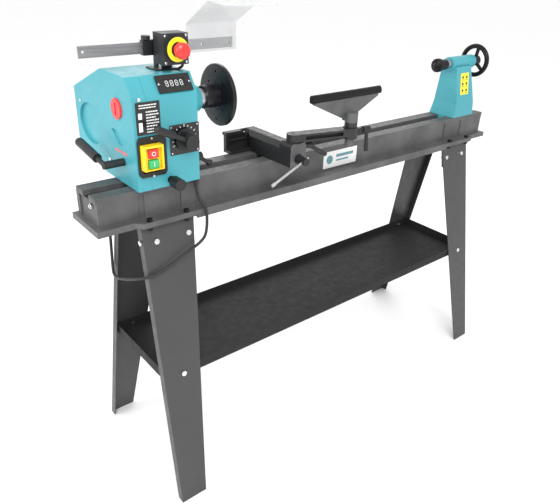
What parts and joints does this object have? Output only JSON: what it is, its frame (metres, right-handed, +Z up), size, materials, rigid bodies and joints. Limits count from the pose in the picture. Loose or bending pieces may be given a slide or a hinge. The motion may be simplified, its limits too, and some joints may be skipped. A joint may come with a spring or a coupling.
{
  "type": "wood lathe",
  "caption": "Floor-standing wood lathe: swivelling headstock with faceplate and guard, swing-arm tool rest and tailstock on a twin-way bed over a splayed sheet-steel stand.",
  "frame": {"origin": "on the floor, at the centre of the machine's outline seen from above", "axes": "+X along the bed from headstock to tailstock, +Y away from the operator, +Z up"},
  "size_m": [1.51, 0.472, 1.2634],
  "materials": {
    "grey_paint": "hammered semi-gloss",
    "turquoise_paint": "hammered gloss",
    "bare_steel": "ground and oiled",
    "chrome": "polished",
    "dark_iron": "painted dark",
    "black_oxide": "satin",
    "black_plastic": "moulded",
    "yellow_plastic": "moulded",
    "red_plastic": "moulded",
    "green_plastic": "moulded",
    "alloy": "machined",
    "clear_sheet": "clear",
    "rubber": "moulded"
  },
  "bodies": {
    "stand": {"bed": "grey_paint", "leg_front_left": "grey_paint", "leg_front_right": "grey_paint", "leg_rear_left": "grey_paint", "leg_rear_right": "grey_paint", "stand_brackets": "grey_paint", "shelf": "grey_paint", "stand_bolts": "chrome", "bed_bolts": "black_oxide", "cord_hook": "grey_paint", "power_cord": "rubber", "cord_coil": "rubber", "cord_plug": "black_plastic"},
    "headstock": {"headstock_casting": "grey_paint", "headstock_housing": "turquoise_paint", "end_cover": "turquoise_paint", "cover_screws": "chrome", "spindle_bearings": "bare_steel", "drive_belt": "rubber", "motor": "dark_iron", "speed_display": "black_plastic", "switch_plate": "black_plastic", "switch_frame": "yellow_plastic", "estop_bracket": "black_oxide", "estop_box": "black_plastic", "strain_relief": "rubber"},
    "spindle": {"spindle": "bare_steel", "faceplate": "black_oxide", "spindle_pulley": "alloy"},
    "rotor": {"fixed_sheave": "alloy"},
    "moving_sheave": {"moving_sheave": "alloy"},
    "speed_lever": {"speed_lever": "black_plastic"},
    "start_button": {"start_button": "green_plastic"},
    "stop_button": {"stop_button": "red_plastic"},
    "knockout_cap": {"knockout_cap": "red_plastic"},
    "belt_lever": {"belt_lever": "black_plastic"},
    "head_lock_lever": {"head_lock_lever": "black_plastic"},
    "locating_pin": {"locating_pin": "black_plastic"},
    "estop_button": {"estop_button": "red_plastic"},
    "guard_clamp": {"guard_clamp": "black_oxide"},
    "guard_knob": {"guard_knob": "black_plastic"},
    "guard": {"guard_bar": "bare_steel", "guard_shield": "clear_sheet"},
    "banjo": {"banjo": "dark_iron", "banjo_clamp": "dark_iron"},
    "banjo_lever": {"banjo_shaft": "black_oxide", "banjo_lever": "bare_steel"},
    "swing_arm": {"swing_arm": "dark_iron"},
    "swing_lock_lever": {"swing_lock_lever": "black_plastic"},
    "post_collar": {"post_collar": "dark_iron"},
    "tool_rest": {"tool_rest": "dark_iron", "rest_bar": "black_oxide"},
    "post_lock_lever": {"post_lock_lever": "black_plastic"},
    "tailstock": {"tailstock_body": "turquoise_paint", "tailstock_clamp": "dark_iron"},
    "tailstock_lever": {"tailstock_lever": "black_plastic"},
    "quill": {"quill": "bare_steel", "live_centre": "black_oxide"},
    "centre_point": {"centre_point": "black_oxide"},
    "handwheel": {"handwheel": "black_oxide"}
  },
  "joints": [
    {"name": "headstock_swivel", "type": "hinge", "parent": "stand", "child": "headstock", "pos_m": [-0.59, -0.011, 0.863], "axis": [0, 0, 1], "range_deg": [-90, 0]},
    {"name": "spindle_spin", "type": "hinge", "parent": "headstock", "child": "spindle", "pos_m": [-0.649, -0.011, 1.04], "axis": [1, 0, 0], "continuous": true},
    {"name": "motor_spin", "type": "hinge", "parent": "headstock", "child": "rotor", "pos_m": [-0.649, 0.149, 0.975], "axis": [1, 0, 0], "continuous": true},
    {"name": "sheave_shift", "type": "slide", "parent": "rotor", "child": "moving_sheave", "axis": [-1, 0, 0], "range_m": [0, 0.0075]},
    {"name": "speed_lever_turn", "type": "hinge", "parent": "headstock", "child": "speed_lever", "pos_m": [-0.526, -0.091, 0.971], "axis": [0, 1, 0], "range_deg": [0, 70]},
    {"name": "start_press", "type": "slide", "parent": "headstock", "child": "start_button", "axis": [0, 1, 0], "range_m": [0, 0.003], "stiffness_N_per_m": 400},
    {"name": "stop_press", "type": "slide", "parent": "headstock", "child": "stop_button", "axis": [0, 1, 0], "range_m": [0, 0.003], "stiffness_N_per_m": 400},
    {"name": "knockout_cap_turn", "type": "hinge", "parent": "headstock", "child": "knockout_cap", "pos_m": [-0.649, -0.011, 1.04], "axis": [1, 0, 0], "range_deg": [0, 90]},
    {"name": "belt_lever_lift", "type": "hinge", "parent": "headstock", "child": "belt_lever", "pos_m": [-0.649, -0.02, 0.92], "axis": [1, 0, 0], "range_deg": [0, 60]},
    {"name": "head_lock_turn", "type": "hinge", "parent": "headstock", "child": "head_lock_lever", "pos_m": [-0.488, -0.055, 0.911], "axis": [1, 0, 0], "range_deg": [-30, 30]},
    {"name": "locating_pin_pull", "type": "slide", "parent": "headstock", "child": "locating_pin", "axis": [0, -1, 0], "range_m": [0, 0.012], "stiffness_N_per_m": 600},
    {"name": "estop_press", "type": "slide", "parent": "headstock", "child": "estop_button", "axis": [0, 1, 0], "range_m": [0, 0.006]},
    {"name": "guard_tilt", "type": "hinge", "parent": "headstock", "child": "guard_clamp", "pos_m": [-0.572, 0.015, 1.161], "axis": [1, 0, 0], "range_deg": [-75, 0]},
    {"name": "guard_knob_turn", "type": "hinge", "parent": "guard_clamp", "child": "guard_knob", "pos_m": [-0.563, 0.001, 1.161], "axis": [0, 0, 1], "range_deg": [-180, 0]},
    {"name": "guard_slide", "type": "slide", "parent": "guard_clamp", "child": "guard", "axis": [1, 0, 0], "range_m": [-0.04, 0.1]},
    {"name": "banjo_slide", "type": "slide", "parent": "stand", "child": "banjo", "axis": [1, 0, 0], "range_m": [0, 0.38]},
    {"name": "banjo_lever_turn", "type": "hinge", "parent": "banjo", "child": "banjo_lever", "pos_m": [-0.2235, -0.142, 0.8833], "axis": [0, 1, 0], "range_deg": [-40, 50]},
    {"name": "swing_turn", "type": "hinge", "parent": "banjo", "child": "swing_arm", "pos_m": [-0.2235, -0.122, 0.926], "axis": [0, 0, 1], "range_deg": [-75, 30]},
    {"name": "swing_lock_turn", "type": "hinge", "parent": "banjo", "child": "swing_lock_lever", "pos_m": [-0.197, -0.13, 0.9108], "axis": [1, 0, 0], "range_deg": [-80, 80]},
    {"name": "rest_height", "type": "slide", "parent": "swing_arm", "child": "post_collar", "axis": [0, 0, 1], "range_m": [0, 0.04]},
    {"name": "rest_turn", "type": "hinge", "parent": "post_collar", "child": "tool_rest", "pos_m": [-0.05591, -0.16069, 0.926], "axis": [0, 0, 1], "range_deg": [-180, 180]},
    {"name": "post_lock_turn", "type": "hinge", "parent": "swing_arm", "child": "post_lock_lever", "pos_m": [-0.05591, -0.16069, 0.937], "axis": [0.9744, -0.225, 0], "range_deg": [-80, 80]},
    {"name": "tailstock_slide", "type": "slide", "parent": "stand", "child": "tailstock", "axis": [1, 0, 0], "range_m": [-0.6, 0.02]},
    {"name": "tailstock_lever_turn", "type": "hinge", "parent": "tailstock", "child": "tailstock_lever", "pos_m": [0.633, 0.049, 0.885], "axis": [0, 1, 0], "range_deg": [-60, 0]},
    {"name": "handwheel_turn", "type": "hinge", "parent": "tailstock", "child": "handwheel", "pos_m": [0.718, -0.011, 1.04], "axis": [1, 0, 0], "range_deg": [0, 7200]},
    {"name": "quill_feed", "type": "slide", "parent": "tailstock", "child": "quill", "axis": [-1, 0, 0], "range_m": [0, 0.06]},
    {"name": "centre_spin", "type": "hinge", "parent": "quill", "child": "centre_point", "pos_m": [0.565, -0.011, 1.04], "axis": [1, 0, 0], "continuous": true}
  ],
  "couplings": [
    {"joint": "motor_spin", "follows": "spindle_spin", "ratio": 1.224},
    {"joint": "sheave_shift", "follows": "speed_lever_turn", "m_per_rad": 0.006},
    {"joint": "quill_feed", "follows": "handwheel_turn", "m_per_rad": 0.00047746}
  ]
}
